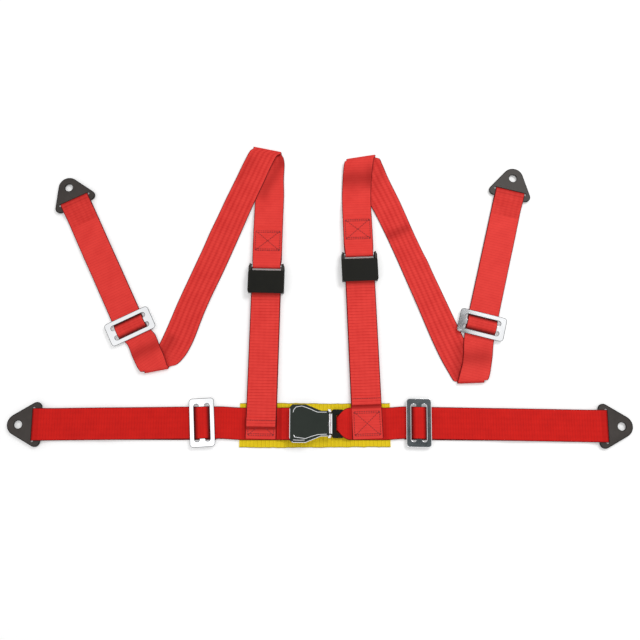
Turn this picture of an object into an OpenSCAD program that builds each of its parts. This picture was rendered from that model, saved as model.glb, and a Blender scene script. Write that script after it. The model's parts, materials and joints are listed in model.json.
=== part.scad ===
// Four-point racing harness, laid out flat, in millimetres.
// +X runs along the lap belt to the right, +Y from the lap belt towards the shoulders, +Z up.
// The origin is on the surface it lies on, in the middle of its outline.

/* [Webbing] */
// Width of the lap webbing
lap_w = 50; // [48:0.5:52]
// Width of the shoulder webbing
shoulder_w = 48; // [46:0.5:49]
// Thickness of the webbing
web_t = 1.6; // [1.2:0.1:1.6]

/* [Layout] */
// Lap belt's line below the origin
lap_drop = 211.5; // [200:0.5:220]
// Plan turn of the left lap belt, in degrees
lap_left_turn = 0.6; // [0:0.1:2]
// Plan turn of the right lap belt, in degrees
lap_right_turn = 1; // [0:0.1:2]
// Lean of the left front shoulder strap, in degrees
left_lean = 1.2; // [0:0.1:3]
// Lean of the right front shoulder strap, in degrees
right_lean = 2.1; // [0:0.1:3]

/* [Anchor plates] */
// Thickness of each anchor plate
plate_t = 3; // [2.5:0.1:3]
// Diameter of the bolt hole
bolt_hole_d = 13; // [10:0.5:13]
// Slot to bolt hole
slot_to_hole = 23; // [22:0.5:26]

/* [Three-bar slides] */
// Length of a slide along the webbing
slide_l = 39; // [38:0.5:42]
// Width of a slide across the webbing
slide_w = 75; // [72:0.5:80]
// Thickness of a slide
slide_t = 3.4; // [3:0.1:4]

/* [Buckle] */
// Width of the lever's lifting end
lever_w = 58.4; // [58:0.2:62]
// Width of the lever at its pivot
lever_neck_w = 39; // [38:0.5:41]
// Width of the tongue's blade
tongue_w = 32; // [28:0.5:33]

/* [Shoulder adjusters] */
// Width of an adjuster's cover
adjuster_w = 58; // [58:0.5:62]
// Length of an adjuster's cover
adjuster_l = 37; // [35:0.5:39]

/* [Backing pad] */
// Length of the pad behind the buckle
pad_l = 235; // [200:1:240]
// Width of the pad
pad_w = 68; // [60:1:72]

/* [Hidden] */
$fn = 48;

gap = 0.3;                          // clearance between layers that slide on each other
layer = web_t + gap;                // height from one layer of webbing to the next
over = 1;                           // how far a cutter runs past a face
lap_y = -lap_drop;

red = "#c8201f";
black = "#1c1c1e";
steel = "#c9ccd0";
yellow = "#dcc01c";

// Strap ends: slide centre, direction to the plate, and distance from the slide to the plate's slot.
lap_left_at = [-183, 1.8];
lap_right_at = [153.5, 1.4];
rear_left_at = [-302.9, 153.6];
rear_right_at = [258.2, 156];
lap_left_dir = 180 + lap_left_turn;
lap_right_dir = -lap_right_turn;
rear_left_dir = 116;
rear_right_dir = 75.7;
lap_left_run = 263;
lap_right_run = 292;
rear_left_run = 238;
rear_right_run = 233.5;

slide_bar = 7;                      // outer bars of a slide
slide_mid = 8;                      // middle bar of a slide
slide_z = layer + web_t + gap;
loop_inner = 22;                    // tail of the loop, short of the slide's centre
eye_l = 30;                         // webbing of the eye, back from the slot
hinge_gap = 3.5;                    // open length where the webbing bends behind the eye
feed = 20;                          // webbing left open for the length adjustment
plate_z = layer;
slot_l = 54;
eye_rise = 13.5;                    // where the eye's top layer starts to fall from the plate
roll_inset = 0.12;                  // keeps a fold's round edge just inside its layers

function along(at, dir, s, t) = [
    at[0] + s * cos(dir) - t * sin(dir),
    at[1] + s * sin(dir) + t * cos(dir)
];

// A run of webbing: its side profile in s and z, drawn across the width.
module web_profile(points, width)
    rotate([90, 0, 0])
        linear_extrude(width, center = true)
            polygon(points);

module rod(length, r)
    rotate([90, 0, 0])
        cylinder(h = length, r = r, center = true);

module rounded_bar(l, w, r, h) {
    linear_extrude(h) {
        square([l - 2 * r, w], center = true);
        square([l, w - 2 * r], center = true);
        for (x = [-1, 1], y = [-1, 1])
            translate([x * (l / 2 - r), y * (w / 2 - r)]) circle(r);
    }
}

module in_lap() translate([0, lap_y, 0]) children();

module at_slide(at, dir)
    in_lap() translate([at[0], at[1], 0]) rotate(dir) children();

// ---- strap ends: slide, loop, eye and anchor plate, along local +X ----

module slide_plate() {
    slot = (slide_l - 2 * slide_bar - slide_mid) / 2;
    color(steel)
        translate([0, 0, slide_z])
            difference() {
                rounded_bar(slide_l, slide_w, 5, slide_t);
                for (side = [-1, 1])
                    translate([side * (slide_mid + slot) / 2, 0, -over])
                        rounded_bar(slot, 58, 4, slide_t + 2 * over);
            }
}

// The rise of the webbing over the slide's middle bar.
module slide_wave(width) {
    low = slide_z;
    top = slide_z + slide_t + gap;
    half = slide_mid / 2 + gap;
    foot = slide_l / 2 - slide_bar - gap;
    color(red)
        web_profile([
            [-foot, low], [-half, low], [-half, top], [half, top], [half, low], [foot, low],
            [half + 1.2, top + web_t], [-half - 1.2, top + web_t]
        ], width);
}

module loop_layer(run, width)
    color(red)
        web_profile([
            [-loop_inner, 0], [run - eye_l - hinge_gap, 0],
            [run - eye_l - hinge_gap, web_t], [-loop_inner, web_t]
        ], width);

// The webbing wrapped round the plate's bar, closed towards the slot.
module anchor_eye(run, width) {
    plate_top = plate_z + plate_t + gap;
    color(red)
        translate([run, 0, 0])
            web_profile([
                [-eye_l, 0], [-gap, 0], [-gap, plate_top + web_t], [-eye_rise, plate_top + web_t],
                [-eye_l, layer + web_t], [-eye_l, layer], [-eye_rise, plate_top],
                [-gap - web_t, plate_top], [-gap - web_t, web_t], [-eye_l, web_t]
            ], width);
}

function tangent(a, ra, b, rb, side) =
    let (d = norm(b - a), dir = atan2(b[1] - a[1], b[0] - a[0]), turn = acos((ra - rb) / d))
    [a + ra * [cos(dir + side * turn), sin(dir + side * turn)],
     b + rb * [cos(dir + side * turn), sin(dir + side * turn)]];

module anchor_plate(run) {
    nose_r = 17;
    ear_r = 8;
    nose = [slot_to_hole, 0];
    ear = [-4.5, 26.5];
    low_ear = [ear[0], -ear[1]];
    upper = tangent(nose, nose_r, ear, ear_r, -1);
    lower = tangent(nose, nose_r, low_ear, ear_r, 1);
    color(black)
        translate([run, 0, plate_z])
            difference() {
                linear_extrude(plate_t) {
                    translate(nose) circle(nose_r);
                    translate(ear) circle(ear_r);
                    translate(low_ear) circle(ear_r);
                    polygon([
                        upper[0], upper[1], ear, ear - [ear_r, 0], low_ear - [ear_r, 0], low_ear,
                        lower[1], lower[0], nose
                    ]);
                }
                translate([slot_to_hole, 0, -over])
                    cylinder(h = plate_t + 2 * over, d = bolt_hole_d);
                translate([0, 0, -over])
                    rounded_bar(2 * (web_t + 2 * gap), slot_l, 2, plate_t + 2 * over);
            }
}

// Corners of the webbing's top layer, from one point on a strap's run to its open end near the plate.
function run_corners(at, dir, start, run, width) = [
    along(at, dir, start, -width / 2), along(at, dir, run - eye_l - feed, -width / 2),
    along(at, dir, run - eye_l - feed, width / 2), along(at, dir, start, width / 2)
];

// A flat piece of webbing with the given plan outline.
module strap_piece(outline, z)
    translate([0, 0, z])
        linear_extrude(web_t)
            polygon(outline);

// ---- lap belt and buckle ----

web_bar_x = -36;
web_bar_r = 3;
web_bar_z = layer + web_t + gap + web_bar_r;
pin_x = 14.4;
pin_z = 11;
pin_r = 2;
base_z = layer;
base_t = 2;
wall_t = 2;
wall_top = 9.5;
blade_z = base_z + base_t + gap;
blade_t = 2.4;
lever_z = 15.2;
lever_t = 2.4;
wide_x = -22;
neck_x = 2;
lever_lift_x = -46.5;
head_x = 18.8;                      // tongue's head, from here to its webbing bar
head_l = 17.2;

module lap_left_webbing() {
    color(red)
        union() {
            in_lap() {
                strap_piece(concat(
                    [[web_bar_x, lap_w / 2]],
                    run_corners(lap_left_at, lap_left_dir, -20, lap_left_run, lap_w),
                    [[web_bar_x, -lap_w / 2]]
                ), layer);
                // return of the webbing round the buckle's bar
                difference() {
                    union() {
                        translate([web_bar_x, 0, web_bar_z]) rod(lap_w, web_bar_r + gap + web_t);
                        web_profile([
                            [web_bar_x, layer], [web_bar_x, web_bar_z + web_bar_r + gap + web_t],
                            [-60, layer + 2 * web_t], [-62, layer + web_t], [-62, layer]
                        ], lap_w);
                    }
                    translate([web_bar_x, 0, web_bar_z]) rod(lap_w + 2 * over, web_bar_r + gap);
                    web_profile([
                        [web_bar_x, layer + web_t], [web_bar_x, web_bar_z + web_bar_r + gap],
                        [-55, layer + web_t]
                    ], lap_w + 2 * over);
                }
            }
        }
}

module lap_right_webbing() {
    head_top = blade_z + blade_t + 2 * gap;
    color(red)
        union() {
            in_lap() {
                strap_piece(concat(
                    [[44, -lap_w / 2]],
                    run_corners(lap_right_at, lap_right_dir, -20, lap_right_run, lap_w),
                    [[44, lap_w / 2]]
                ), layer);
                // narrowed end of the webbing, through the tongue's slot and back
                difference() {
                    web_profile([
                        [26, layer], [48, layer], [48, layer + 2 * web_t - gap],
                        [36.5, head_top + web_t], [26, head_top + web_t]
                    ], tongue_w + 4);
                    web_profile([
                        [26 + web_t, layer + web_t], [41, layer + web_t],
                        [36.5, head_top], [26 + web_t, head_top]
                    ], tongue_w + 4 + 2 * over);
                }
            }
        }
}

module backing_pad()
    color(yellow)
        in_lap()
            translate([-8, -2, 0])
                rounded_bar(pad_l, pad_w, 4, web_t);

// Half outline of the buckle, at a given distance outside its wide and narrow widths.
function buckle_side(wide, narrow, front) = [
    [lever_lift_x + 2, wide], [wide_x, wide], [neck_x, narrow], [front, narrow]
];

module buckle_base() {
    wide = lever_w / 2 - 1.5;
    narrow = lever_neck_w / 2;
    front = 17;
    outer = buckle_side(wide, narrow, front);
    inner = buckle_side(wide - wall_t, narrow - wall_t, front);
    color(steel)
        in_lap()
            difference() {
                union() {
                    translate([0, 0, base_z])
                        linear_extrude(base_t)
                            polygon([
                                [wide_x - 4, wide], [neck_x, narrow], [front, narrow],
                                [front, -narrow], [neck_x, -narrow], [wide_x - 4, -wide]
                            ]);
                    for (side = [0, 1])
                        mirror([0, side, 0]) {
                            translate([0, 0, base_z])
                                linear_extrude(wall_top - base_z)
                                    polygon([for (p = outer) p, for (i = [3:-1:0]) inner[i]]);
                            translate([pin_x, narrow - wall_t / 2, pin_z]) rod(wall_t, 4);
                            translate([pin_x - 4, narrow - wall_t, base_z])
                                cube([8, wall_t, pin_z - base_z]);
                        }
                }
                translate([pin_x, 0, pin_z]) rod(lever_w, pin_r + 0.05);
                translate([web_bar_x, 0, web_bar_z]) rod(lever_w, web_bar_r + 0.05);
            }
}

module buckle_webbing_bar()
    color(steel)
        in_lap() translate([web_bar_x, 0, web_bar_z]) rod(lever_w - 3, web_bar_r);

module buckle_pivot_pin()
    color(steel)
        in_lap()
            translate([pin_x, 0, pin_z]) {
                rod(lever_neck_w + 2 * gap, pin_r);
                for (side = [-1, 1])
                    translate([0, side * (lever_neck_w / 2 + gap + 1), 0]) rod(2, 3);
            }

module lever_spring()
    color("#9a9da2")
        in_lap()
            translate([pin_x, 0, pin_z])
                for (i = [-3:3])
                    translate([0, i * 1.5, 0])
                        rotate([90, 0, 0])
                            rotate_extrude() translate([3.1, 0]) circle(0.6);

module buckle_lever() {
    wide = lever_w / 2;
    narrow = lever_neck_w / 2;
    end = pin_x - 1.7;
    lug_y = narrow - wall_t - gap - 1;
    color(black)
        in_lap() {
            translate([0, 0, lever_z])
                linear_extrude(lever_t)
                    polygon([
                        [lever_lift_x, wide - 4], [lever_lift_x + 4, wide], [wide_x, wide], [neck_x, narrow],
                        [end, narrow], [end, -narrow], [neck_x, -narrow], [wide_x, -wide],
                        [lever_lift_x + 4, -wide], [lever_lift_x, -wide + 4]
                    ]);
            // lip and side flanges of the lifting end
            translate([lever_lift_x, -wide + 4, 12]) cube([1.2, 2 * wide - 8, lever_z - 11]);
            for (side = [0, 1])
                mirror([0, side, 0]) {
                    translate([lever_lift_x + 4, wide - 1.2, 7])
                        cube([wide_x - lever_lift_x - 4, 1.2, lever_z - 6]);
                    difference() {
                        union() {
                            translate([pin_x, lug_y, pin_z]) rod(2, 4);
                            translate([pin_x - 6, lug_y - 1, pin_z]) cube([4.3, 2, lever_z - pin_z + over]);
                        }
                        translate([pin_x, lug_y, pin_z]) rod(2 + 2 * over, pin_r + 0.06);
                    }
                }
            // latch hook over the tongue's window
            translate([-6, -6, blade_z + blade_t + 2 * gap])
                cube([3, 12, lever_z - blade_z - blade_t - gap]);
        }
}

module tongue_blade(length)
    translate([0, 0, blade_z])
        linear_extrude(blade_t)
            polygon([
                [-14, 11], [-9, tongue_w / 2], [length, tongue_w / 2],
                [length, -tongue_w / 2], [-9, -tongue_w / 2], [-14, -11]
            ]);

module latch_tongue()
    color(steel)
        in_lap()
            difference() {
                tongue_blade(head_x + 4.5);
                // window that the latch hook drops into
                translate([-4, 0, blade_z - over]) rounded_bar(8, 18, 2, blade_t + 2 * over);
            }

// Moulded head on the tongue's root, with the slot for the lap webbing.
module tongue_cover() {
    head_t = blade_t + 2 * gap;
    color(black)
        in_lap()
            difference() {
                translate([head_x + head_l / 2, 0, blade_z - gap])
                    rounded_bar(head_l, 44, 2.5, head_t);
                tongue_blade(head_x + 4.5);
                translate([27, 0, blade_z - over]) rounded_bar(3.8, 40, 1.6, head_t + 2 * over);
            }
}

// ---- shoulder straps ----

left_foot = [-91.5, 0];
right_foot = [73.4, 0];
left_adjuster_v = 225;
right_adjuster_v = 245;
strap_z = 2 * layer;                // the lower strap lies on the lap belt
tail_z = 3 * layer;
loop_bar_v = 26.5;
loop_bar_r = 2;
loop_bar_z = tail_z + web_t + gap + loop_bar_r;

// Local frame of a shoulder's front strap: +X up the strap, from the lap belt.
module at_foot(foot, dir)
    in_lap() translate([foot[0], foot[1], 0]) rotate(dir) children();

module lower_strap(adjuster_v)
    color(red)
        web_profile([
            [-23, strap_z], [adjuster_v + 19, strap_z],
            [adjuster_v + 19, strap_z + web_t], [-23, strap_z + web_t]
        ], shoulder_w);

module pull_tail(end, adjuster_v)
    color(red)
        web_profile([
            [end, tail_z], [adjuster_v + 2, tail_z], [adjuster_v + 2, tail_z + web_t],
            [end + 14, tail_z + web_t], [end + 14, tail_z + 2 * web_t], [end, tail_z + 2 * web_t]
        ], shoulder_w - 1);

// Loop round the adjuster's bar and the front strap up to the fold, ending at the given height.
module front_run(adjuster_v, end, end_z) {
    v = adjuster_v + loop_bar_v;
    ring = loop_bar_r + gap;
    top = loop_bar_z + ring + web_t;
    color(red)
        difference() {
            union() {
                translate([v, 0, loop_bar_z]) rod(shoulder_w, ring + web_t);
                web_profile([
                    [v, tail_z], [v + 66, tail_z], [v + 120, end_z], [end, end_z],
                    [end, end_z + web_t], [v + 120, end_z + web_t], [v + 66, tail_z + 2 * web_t],
                    [v + 25, tail_z + 2 * web_t], [v, top]
                ], shoulder_w);
            }
            translate([v, 0, loop_bar_z]) rod(shoulder_w + 2 * over, ring);
            web_profile([
                [v, tail_z + web_t], [v, top - web_t], [v + 22, tail_z + web_t]
            ], shoulder_w + 2 * over);
        }
}

// The round edge that joins two layers at a fold.
module fold_roll(a, b) {
    dir = atan2(b[1] - a[1], b[0] - a[0]);
    translate([a[0], a[1], (layer + web_t) / 2])
        rotate([0, 90, dir])
            cylinder(h = norm(b - a), r = (layer + web_t) / 2 - roll_inset);
}

// A strap piece that climbs from the floor at one point to the next layer at another.
module climbing_piece(outline, from, to) {
    dir = atan2(to[1] - from[1], to[0] - from[0]);
    climb = atan2(layer, norm(to - from));
    translate([from[0], from[1], 0])
        rotate(dir)
            rotate([0, -climb, 0])
                rotate(-dir)
                    translate([-from[0], -from[1], 0])
                        strap_piece(outline, 0);
}

module shoulder_left_upper_strap() {
    top_fold = [[-108, 459], [-70, 450]];
    low_fold = [[-279, 83], [-243, 92]];
    color(red)
        union() {
            at_foot(left_foot, 90 - left_lean) front_run(left_adjuster_v, 425, 0);
            in_lap() {
                strap_piece([[-107, 400], [-108, 460], [-68, 450], [-59.5, 434], [-59.5, 400]], 0);
                fold_roll(top_fold[0], top_fold[1]);
                climbing_piece([
                    [-125, 446], [-110, 460], [-73, 452], [-115, 344], [-206, 126],
                    [-216, 106], [-242, 92], [-278, 86], [-258, 121]
                ], low_fold[0], top_fold[0]);
                fold_roll(low_fold[0], low_fold[1]);
                strap_piece(concat(
                    [[-280, 83], [-242, 93], [-257, 121]],
                    run_corners(rear_left_at, rear_left_dir, 0, rear_left_run, shoulder_w),
                    [[-307, 124]]
                ), layer);
            }
        }
}

module shoulder_right_upper_strap() {
    top_fold = [[48, 440], [92, 446]];
    low_fold = [[218, 65], [262, 66]];
    color(red)
        union() {
            at_foot(right_foot, 90 + right_lean) front_run(right_adjuster_v, 400, layer);
            in_lap() {
                strap_piece([[40, 385], [39, 425], [45, 440], [91, 446], [86, 385]], layer);
                fold_roll(top_fold[0], top_fold[1]);
                strap_piece([
                    [46, 440], [93, 447], [104, 436], [140, 344], [153, 311], [221, 157], [228, 128],
                    [261, 67], [216, 64], [191, 102], [112, 299], [87, 352]
                ], 0);
                fold_roll(low_fold[0], low_fold[1]);
                strap_piece(concat(
                    [[219, 64], [264, 66], [272, 94], [275.5, 126]],
                    run_corners(rear_right_at, rear_right_dir, 0, rear_right_run, shoulder_w),
                    [[228, 128], [227, 98]]
                ), layer);
            }
        }
}

// ---- shoulder adjusters, in the frame of the front strap ----

lock_bar_v = -3;
lock_bar_r = 2.2;
lock_bar_z = tail_z + web_t + gap + lock_bar_r;
frame_wall_y = 25.5;
frame_wall_t = 2;
frame_top = 13.4;
lock_travel = 3;
cover_t = 1.8;

module adjuster_frame(adjuster_v) {
    ear_end = loop_bar_v + 4.5;
    slot_r = lock_bar_r + 0.15;
    color(black)
        translate([adjuster_v, 0, 0]) {
            translate([-16, -frame_wall_y - frame_wall_t, 0])
                cube([32, 2 * (frame_wall_y + frame_wall_t), 2.4]);
            for (side = [0, 1])
                mirror([0, side, 0])
                    translate([0, frame_wall_y + frame_wall_t, 0])
                        rotate([90, 0, 0])
                            linear_extrude(frame_wall_t)
                                difference() {
                                    polygon([
                                        [-16, 0], [ear_end - 3, 0], [ear_end, 3], [ear_end, frame_top - 2],
                                        [ear_end - 2, frame_top], [-12, frame_top], [-16, 9]
                                    ]);
                                    translate([loop_bar_v, loop_bar_z]) circle(loop_bar_r + 0.05);
                                    // slot that the lock bar slides in
                                    translate([lock_bar_v, lock_bar_z]) circle(slot_r);
                                    translate([lock_bar_v + lock_travel, lock_bar_z]) circle(slot_r);
                                    translate([lock_bar_v, lock_bar_z - slot_r])
                                        square([lock_travel, 2 * slot_r]);
                                }
        }
}

module adjuster_cover(adjuster_v) {
    inner_y = frame_wall_y + frame_wall_t + gap;
    color(black)
        translate([adjuster_v, 0, 0])
            difference() {
                translate([0, 0, 1])
                    rounded_bar(adjuster_l, adjuster_w, 4, frame_top + gap + cover_t - 1);
                translate([-adjuster_l / 2 - over, -inner_y, 0])
                    cube([adjuster_l + 2 * over, 2 * inner_y, frame_top + gap]);
            }
}

module loop_bar(adjuster_v)
    color(steel)
        translate([adjuster_v + loop_bar_v, 0, loop_bar_z])
            rod(2 * (frame_wall_y + frame_wall_t), loop_bar_r);

module lock_bar(adjuster_v)
    color(steel)
        translate([adjuster_v + lock_bar_v, 0, lock_bar_z])
            rod(2 * (frame_wall_y + frame_wall_t) - 0.6, lock_bar_r);

module left_front() at_foot(left_foot, 90 - left_lean) children();
module right_front() at_foot(right_foot, 90 + right_lean) children();
module lap_left_end() at_slide(lap_left_at, lap_left_dir) children();
module lap_right_end() at_slide(lap_right_at, lap_right_dir) children();
module rear_left_end() at_slide(rear_left_at, rear_left_dir) children();
module rear_right_end() at_slide(rear_right_at, rear_right_dir) children();

backing_pad();
lap_left_webbing();
buckle_base();
buckle_webbing_bar();
buckle_pivot_pin();
lever_spring();
buckle_lever();
latch_tongue();
tongue_cover();
lap_right_webbing();

lap_left_end() slide_plate();  // lap_left_slide
lap_left_end() slide_wave(lap_w);  // lap_left_slide_webbing
lap_left_end() loop_layer(lap_left_run, lap_w);  // lap_left_loop
lap_left_end() anchor_eye(lap_left_run, lap_w);  // lap_left_eye
lap_left_end() anchor_plate(lap_left_run);  // lap_left_anchor

lap_right_end() slide_plate();  // lap_right_slide
lap_right_end() slide_wave(lap_w);  // lap_right_slide_webbing
lap_right_end() loop_layer(lap_right_run, lap_w);  // lap_right_loop
lap_right_end() anchor_eye(lap_right_run, lap_w);  // lap_right_eye
lap_right_end() anchor_plate(lap_right_run);  // lap_right_anchor

rear_left_end() slide_plate();  // shoulder_left_slide
rear_left_end() slide_wave(shoulder_w);  // shoulder_left_slide_webbing
rear_left_end() loop_layer(rear_left_run, shoulder_w);  // shoulder_left_loop
rear_left_end() anchor_eye(rear_left_run, shoulder_w);  // shoulder_left_eye
rear_left_end() anchor_plate(rear_left_run);  // shoulder_left_anchor

rear_right_end() slide_plate();  // shoulder_right_slide
rear_right_end() slide_wave(shoulder_w);  // shoulder_right_slide_webbing
rear_right_end() loop_layer(rear_right_run, shoulder_w);  // shoulder_right_loop
rear_right_end() anchor_eye(rear_right_run, shoulder_w);  // shoulder_right_eye
rear_right_end() anchor_plate(rear_right_run);  // shoulder_right_anchor

left_front() lower_strap(left_adjuster_v);  // shoulder_left_lower_strap
left_front() pull_tail(-5, left_adjuster_v);  // shoulder_left_pull_tail
shoulder_left_upper_strap();
left_front() adjuster_frame(left_adjuster_v);  // left_adjuster_frame
left_front() adjuster_cover(left_adjuster_v);  // left_adjuster_cover
left_front() loop_bar(left_adjuster_v);  // left_adjuster_loop_bar
left_front() lock_bar(left_adjuster_v);  // left_adjuster_lock_bar

right_front() lower_strap(right_adjuster_v);  // shoulder_right_lower_strap
right_front() pull_tail(29, right_adjuster_v);  // shoulder_right_pull_tail
shoulder_right_upper_strap();
right_front() adjuster_frame(right_adjuster_v);  // right_adjuster_frame
right_front() adjuster_cover(right_adjuster_v);  // right_adjuster_cover
right_front() loop_bar(right_adjuster_v);  // right_adjuster_loop_bar
right_front() lock_bar(right_adjuster_v);  // right_adjuster_lock_bar
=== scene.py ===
import json
import math
import random
import bpy
import numpy as np
from mathutils import Matrix, Vector

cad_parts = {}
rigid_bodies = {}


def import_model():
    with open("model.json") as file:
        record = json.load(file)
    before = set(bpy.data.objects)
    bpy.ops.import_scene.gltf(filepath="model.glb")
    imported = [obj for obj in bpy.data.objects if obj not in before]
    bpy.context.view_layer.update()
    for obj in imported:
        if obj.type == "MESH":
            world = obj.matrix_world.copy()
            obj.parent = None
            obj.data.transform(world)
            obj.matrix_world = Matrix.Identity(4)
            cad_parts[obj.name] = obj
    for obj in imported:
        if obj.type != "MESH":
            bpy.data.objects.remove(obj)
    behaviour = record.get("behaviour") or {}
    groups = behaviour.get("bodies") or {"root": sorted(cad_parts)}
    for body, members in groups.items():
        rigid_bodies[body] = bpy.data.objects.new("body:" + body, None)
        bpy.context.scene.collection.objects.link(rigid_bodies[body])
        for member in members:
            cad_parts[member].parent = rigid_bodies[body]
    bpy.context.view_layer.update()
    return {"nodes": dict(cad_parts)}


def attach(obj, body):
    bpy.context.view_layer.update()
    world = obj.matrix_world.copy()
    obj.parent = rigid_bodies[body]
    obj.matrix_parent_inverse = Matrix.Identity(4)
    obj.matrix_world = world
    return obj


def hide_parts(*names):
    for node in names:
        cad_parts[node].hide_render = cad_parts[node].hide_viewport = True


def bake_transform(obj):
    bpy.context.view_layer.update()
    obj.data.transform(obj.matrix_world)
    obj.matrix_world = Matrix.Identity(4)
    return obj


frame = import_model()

print("frame loaded")

# Plan points are millimetres: x to the right, y up the straps from the lap belt's line.
lapLine = -211.5
layer = 1.9          # one layer of webbing and its clearance
webThick = 1.6
turnAngles = [i * math.pi / 6 for i in range(7)]


def deselectAll():
    bpy.ops.object.select_all(action="DESELECT")


def pickOnly(obj):
    deselectAll()
    obj.select_set(True)
    bpy.context.view_layer.objects.active = obj


def applyModifiers(obj):
    pickOnly(obj)
    for name in [m.name for m in obj.modifiers]:
        bpy.ops.object.modifier_apply(modifier=name)


def smoothBy(obj, degrees):
    pickOnly(obj)
    bpy.ops.object.shade_smooth_by_angle(angle=math.radians(degrees))


def inFrame(x, y, z):
    return (x / 1000, (y + lapLine) / 1000, z / 1000)


def along(place, s, t=0):
    # point at s along and t across a strap's own line, in plan
    (x, y), turn = place["at"], math.radians(place["turn"])
    return (x + s * math.cos(turn) - t * math.sin(turn), y + s * math.sin(turn) + t * math.cos(turn))


# camera, light and floor

camera = dict(place=(0, -0.2535, 1.0651), tilt=11, lens=38.0)
cameraData = bpy.data.cameras.new("studioCamera")
cameraData.lens = camera["lens"]
cameraData.sensor_width = 36
cameraObj = bpy.data.objects.new("studioCamera", cameraData)
cameraObj.location = camera["place"]
cameraObj.rotation_euler = (math.radians(camera["tilt"]), 0, 0)
bpy.context.collection.objects.link(cameraObj)
bpy.context.scene.camera = cameraObj
bpy.context.scene.view_settings.view_transform = "Standard"

light = dict(keyPower=12, keySize=0.7, keyPlace=(0.8, 0.75, 1.6), fillPower=2.0, fillSize=1.4,
             fillPlace=(-0.9, -0.5, 1.6), skyLevel=0.68, floorTone=0.92, floorGlow=0.2)


def softLamp(name, place, size, power):
    lamp = bpy.data.lights.new(name, "AREA")
    lamp.shape = "DISK"
    lamp.size = size
    lamp.energy = power
    obj = bpy.data.objects.new(name, lamp)
    obj.location = place
    obj.rotation_euler = (Vector((0, 0, 0)) - Vector(place)).to_track_quat("-Z", "Y").to_euler()
    bpy.context.collection.objects.link(obj)
    return obj


softLamp("keyLamp", light["keyPlace"], light["keySize"], light["keyPower"])
softLamp("fillLamp", light["fillPlace"], light["fillSize"], light["fillPower"])


def seenDirectly(nodes, links):
    # 1 for what the camera, a reflection or glass sees directly
    path = nodes.new("ShaderNodeLightPath")
    first = nodes.new("ShaderNodeMath")
    first.operation = "MAXIMUM"
    links.new(path.outputs["Is Camera Ray"], first.inputs[0])
    links.new(path.outputs["Is Glossy Ray"], first.inputs[1])
    second = nodes.new("ShaderNodeMath")
    second.operation = "MAXIMUM"
    links.new(first.outputs[0], second.inputs[0])
    links.new(path.outputs["Is Transmission Ray"], second.inputs[1])
    return second.outputs[0]


def buildSky():
    world = bpy.data.worlds.new("studioSky")
    bpy.context.scene.world = world
    world.use_nodes = True
    nodes, links = world.node_tree.nodes, world.node_tree.links
    nodes.clear()
    soft = nodes.new("ShaderNodeBackground")
    soft.inputs["Color"].default_value = (1, 1, 1, 1)
    soft.inputs["Strength"].default_value = light["skyLevel"]
    seen = nodes.new("ShaderNodeBackground")
    seen.inputs["Color"].default_value = (1, 1, 1, 1)
    seen.inputs["Strength"].default_value = 1
    mix = nodes.new("ShaderNodeMixShader")
    links.new(seenDirectly(nodes, links), mix.inputs[0])
    links.new(soft.outputs[0], mix.inputs[1])
    links.new(seen.outputs[0], mix.inputs[2])
    out = nodes.new("ShaderNodeOutputWorld")
    links.new(mix.outputs[0], out.inputs["Surface"])


def buildFloor():
    bpy.ops.mesh.primitive_plane_add(size=8, location=(0, 0, -0.0004))
    floor = bpy.context.object
    floor.name = "studioFloor"
    mat = bpy.data.materials.new("floorPaper")
    mat.use_nodes = True
    nodes, links = mat.node_tree.nodes, mat.node_tree.links
    paper = nodes["Principled BSDF"]
    tone = light["floorTone"]
    paper.inputs["Base Color"].default_value = (tone, tone, tone, 1)
    paper.inputs["Roughness"].default_value = 0.9
    paper.inputs["Specular IOR Level"].default_value = 0.1
    paper.inputs["Emission Color"].default_value = (1, 1, 1, 1)
    glow = nodes.new("ShaderNodeMath")
    glow.operation = "MULTIPLY"
    glow.inputs[1].default_value = light["floorGlow"]
    links.new(seenDirectly(nodes, links), glow.inputs[0])
    links.new(glow.outputs[0], paper.inputs["Emission Strength"])
    floor.data.materials.append(mat)


# dark studio flags that only reflections see, set for the main view: place and size
flags = dict(lapSlide=((0.342, -0.157, 1.3), (0.12, 0.22, 1)),
             shoulderSlide=((0.497, 0.19, 1.3), (0.06, 0.16, 1)))


def buildFlags():
    mat = bpy.data.materials.new("flagCloth")
    mat.use_nodes = True
    cloth = mat.node_tree.nodes["Principled BSDF"]
    cloth.inputs["Base Color"].default_value = (0.02, 0.025, 0.028, 1)
    cloth.inputs["Specular IOR Level"].default_value = 0
    for name, (place, size) in flags.items():
        deselectAll()
        bpy.ops.mesh.primitive_plane_add(size=1, location=place)
        flag = bpy.context.object
        flag.name = name + "Flag"
        flag.scale = size
        flag.data.materials.append(mat)
        for kind in ("visible_camera", "visible_diffuse", "visible_transmission", "visible_shadow"):
            setattr(flag, kind, False)


buildSky()
deselectAll()
buildFloor()
buildFlags()
print("studio ready")

# shared effects


def newGroup(name, inputs, outputs):
    group = bpy.data.node_groups.new(name, "ShaderNodeTree")
    for label, kind, value in inputs:
        socket = group.interface.new_socket(name=label, in_out="INPUT", socket_type=kind)
        if value is not None:
            socket.default_value = value
    for label, kind in outputs:
        group.interface.new_socket(name=label, in_out="OUTPUT", socket_type=kind)
    return group, group.nodes.new("NodeGroupInput"), group.nodes.new("NodeGroupOutput")


def mathNode(tree, operation, a, b=None, c=None):
    node = tree.nodes.new("ShaderNodeMath")
    node.operation = operation
    for i, value in enumerate((a, b, c)):
        if value is None:
            continue
        if isinstance(value, (int, float)):
            node.inputs[i].default_value = value
        else:
            tree.links.new(value, node.inputs[i])
    return node.outputs[0]


def noiseNode(tree, vector, scale, detail=2.0, rough=0.5):
    node = tree.nodes.new("ShaderNodeTexNoise")
    node.inputs["Scale"].default_value = scale
    node.inputs["Detail"].default_value = detail
    node.inputs["Roughness"].default_value = rough
    tree.links.new(vector, node.inputs["Vector"])
    return node.outputs[0]


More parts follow.
